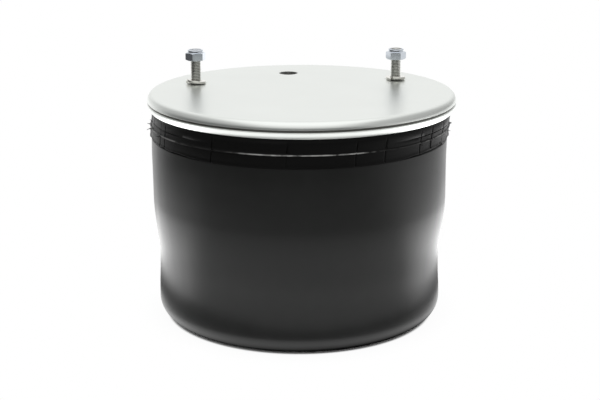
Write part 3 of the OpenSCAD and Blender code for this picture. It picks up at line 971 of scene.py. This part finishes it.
def make_whiskers():
    """Thin rubber hairs left by the mould's vents along the band."""
    root_r = 0.38 * MM
    tip_r = 0.2 * MM
    sunk = 0.4 * MM
    mesh = bmesh.new()
    for angle in SEAMS + [CAMERA_SIDE + a for a in (-92, -89, 85, 89, 91)]:
        length = random.uniform(2.2, 4.6) * MM
        turn = math.radians(angle + random.uniform(-1.5, 1.5))
        level = BAND_LINE_Z + random.uniform(-2.5, 2.5) * MM
        tilt = Matrix.Rotation(math.radians(90 + random.uniform(-25, 25)), 4, "Y")
        out = Matrix.Rotation(turn, 4, "Z") @ Matrix.Translation((SLEEVE_R + BAND_MID, 0, level)) @ tilt
        bmesh.ops.create_cone(mesh, cap_ends=True, segments=7, radius1=root_r, radius2=tip_r, depth=length,
                              matrix=out @ Matrix.Translation((0, 0, length / 2 - sunk)))
    for vert in mesh.verts:
        vert.co.x += SLEEVE_ASIDE
    piece = make_piece("mould_whiskers", mesh, BAND_RUBBER)
    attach(piece, "top_plate")


make_sleeve()
make_inner_run()
make_band()
make_whiskers()


# Stage


def light_path(tree):
    """Which rays see the background: those from the camera, and those that are mirrored or pass through."""
    path = tree.node("ShaderNodeLightPath").socket.node
    camera, glossy, through = (Value(tree, path.outputs[f"Is {kind} Ray"])
                               for kind in ("Camera", "Glossy", "Transmission"))
    return camera, glossy.largest(through)


def make_world():
    """White studio overhead and behind, darker near the horizon in front, with a dim panel on each side."""
    world = bpy.data.worlds.new("studio")
    bpy.context.scene.world = world
    world.use_nodes = True
    tree = Tree(world.node_tree)
    camera, mirrored = light_path(tree)
    direction = tree.node("ShaderNodeTexCoord", out="Generated")
    height = tree.axes(direction)[2]
    ambient = 0.05 + 1.05 * height.step(0.1, 0.5)
    above = height.step(0.05, 0.38)
    panels = tree.along(direction, 90).size().step(0.3, 0.8) * (1 - height.step(0.65, 0.95))
    level = (1 - 0.9 * tree.along(direction, -35).step(-0.26, 0.42)
             - 0.6 * tree.along(direction, 105).step(0.5, 0.9)).largest(0.1)
    sky = above * (1 - 0.5 * panels - 0.05 * height.step(0.55, 0.85)) + (1 - above) * level
    strength = camera + (1 - camera) * (ambient + mirrored * (sky - ambient))
    back = tree.node("ShaderNodeBackground", {}, {"Color": (1, 1, 1, 1), "Strength": strength})
    tree.node("ShaderNodeOutputWorld", {}, {"Surface": back})


def floor_glow(tree, place):
    """Brightness of the floor in mirrored rays: painted light, for the floor glows there though it is no
    lamp.

    It has painted shade under the lobe and in a ring round it, painted light brightest near the object's two
    sides, and is dim further out in front.
    """
    away = tree.length(place)
    level = tree.node("ShaderNodeVectorMath", {"operation": "NORMALIZE"}, {0: place})
    left, right, behind, front = (tree.along(level, angle) for angle in (-106, 110, 180, -28))
    # Painted light: brighter pools on the floor near the object's left and right.
    sides = 1.6 * left.step(0.73, 0.94) + 2.0 * right.step(0.73, 0.94)
    # Painted shade: dark under the lobe and dimmed in a ring round it, as the object's shadow seen in
    # reflections.
    past_lobe = away.step(126 * MM, 142 * MM)
    painted_shadow_ring = away.step(150 * MM, 180 * MM) * (1 - away.step(215 * MM, 255 * MM))
    near = (1.4 + sides * away.step(160 * MM, 270 * MM)) * (1 - 0.92 * painted_shadow_ring) * past_lobe
    middle = 0.36 * (1 - away.step(780 * MM, 950 * MM))
    open_floor = ((0.9 + 0.4 * behind.step(0.5, 0.9)) * (1 - 0.88 * front.step(-0.3, 0.5))).largest(middle)
    far = away.step(300 * MM, 600 * MM)
    return near * (1 - far) + open_floor * far


def make_floor():
    """Pale floor: matt under the lobe, where it takes the object's shade, and plain white further out."""
    material, tree = new_finish("pale_floor")
    camera, mirrored = light_path(tree)
    place = tree.place()
    glow = floor_glow(tree, place)
    under_lobe = tree.node("ShaderNodeVectorMath", {"operation": "SUBTRACT"},
                           {0: place, 1: (1.1 * SLEEVE_ASIDE, 0, 0)})
    away = tree.length(under_lobe)
    plain = away.step(125.8 * MM, 129.5 * MM) * (0.95 + 0.05 * away.step(128 * MM, 160 * MM))
    paper = tree.grain(6 * MM, detail=3)
    matt = tree.node("ShaderNodeBsdfPrincipled", {}, {
        "Base Color": tree.tint(paper, (0.90, 0.90, 0.90), (0.92, 0.92, 0.92)), "Roughness": 0.9})
    # Painted light: mirrored rays see the floor's glow, not the lit matt floor.
    light = tree.node("ShaderNodeEmission", {}, {
        "Color": (1, 1, 1, 1), "Strength": camera + (1 - camera) * glow})
    mixed = tree.node("ShaderNodeMixShader", {}, {0: camera * plain + mirrored, 1: matt, 2: light})
    tree.node("ShaderNodeOutputMaterial", {}, {"Surface": mixed})
    floor_r = 7
    mesh = bmesh.new()
    bmesh.ops.create_circle(mesh, cap_ends=True, segments=96, radius=floor_r)
    data = bpy.data.meshes.new("floor")
    mesh.to_mesh(data)
    mesh.free()
    data.materials.append(material)
    floor = bpy.data.objects.new("floor", data)
    bpy.context.scene.collection.objects.link(floor)


def add_lamp(name, place, size, power):
    """Square soft box aimed at the middle of the bellows."""
    data = bpy.data.lights.new(name, "AREA")
    data.shape = "SQUARE"
    data.size = size
    data.energy = power
    lamp = bpy.data.objects.new(name, data)
    lamp.location = place
    aim = Vector((0, 0, PLATE_TOP / 2)) - lamp.location
    lamp.rotation_euler = aim.to_track_quat("-Z", "Y").to_euler()
    bpy.context.scene.collection.objects.link(lamp)


def make_camera():
    """Camera at the photograph's angle: 78 mm on a 36 mm frame, looking down a little."""
    distance = 1204.25 * MM
    above_plate = 230.2 * MM
    aside = -1.5 * MM
    pitch = 15.66
    data = bpy.data.cameras.new("camera")
    data.lens = 78
    data.sensor_width = 36
    camera = bpy.data.objects.new("camera", data)
    turn = Matrix.Rotation(math.radians(CAMERA_TURN), 4, "Z")
    camera.location = turn @ Vector((aside, -distance, PLATE_TOP + above_plate))
    camera.rotation_euler = (math.radians(90 - pitch), 0, math.radians(CAMERA_TURN))
    bpy.context.scene.collection.objects.link(camera)
    bpy.context.scene.camera = camera


make_world()
make_floor()
add_lamp("overhead", place=(-0.05, -0.35, 1.5), size=1.8, power=2.8)
make_camera()
bpy.context.scene.view_settings.view_transform = "Standard"
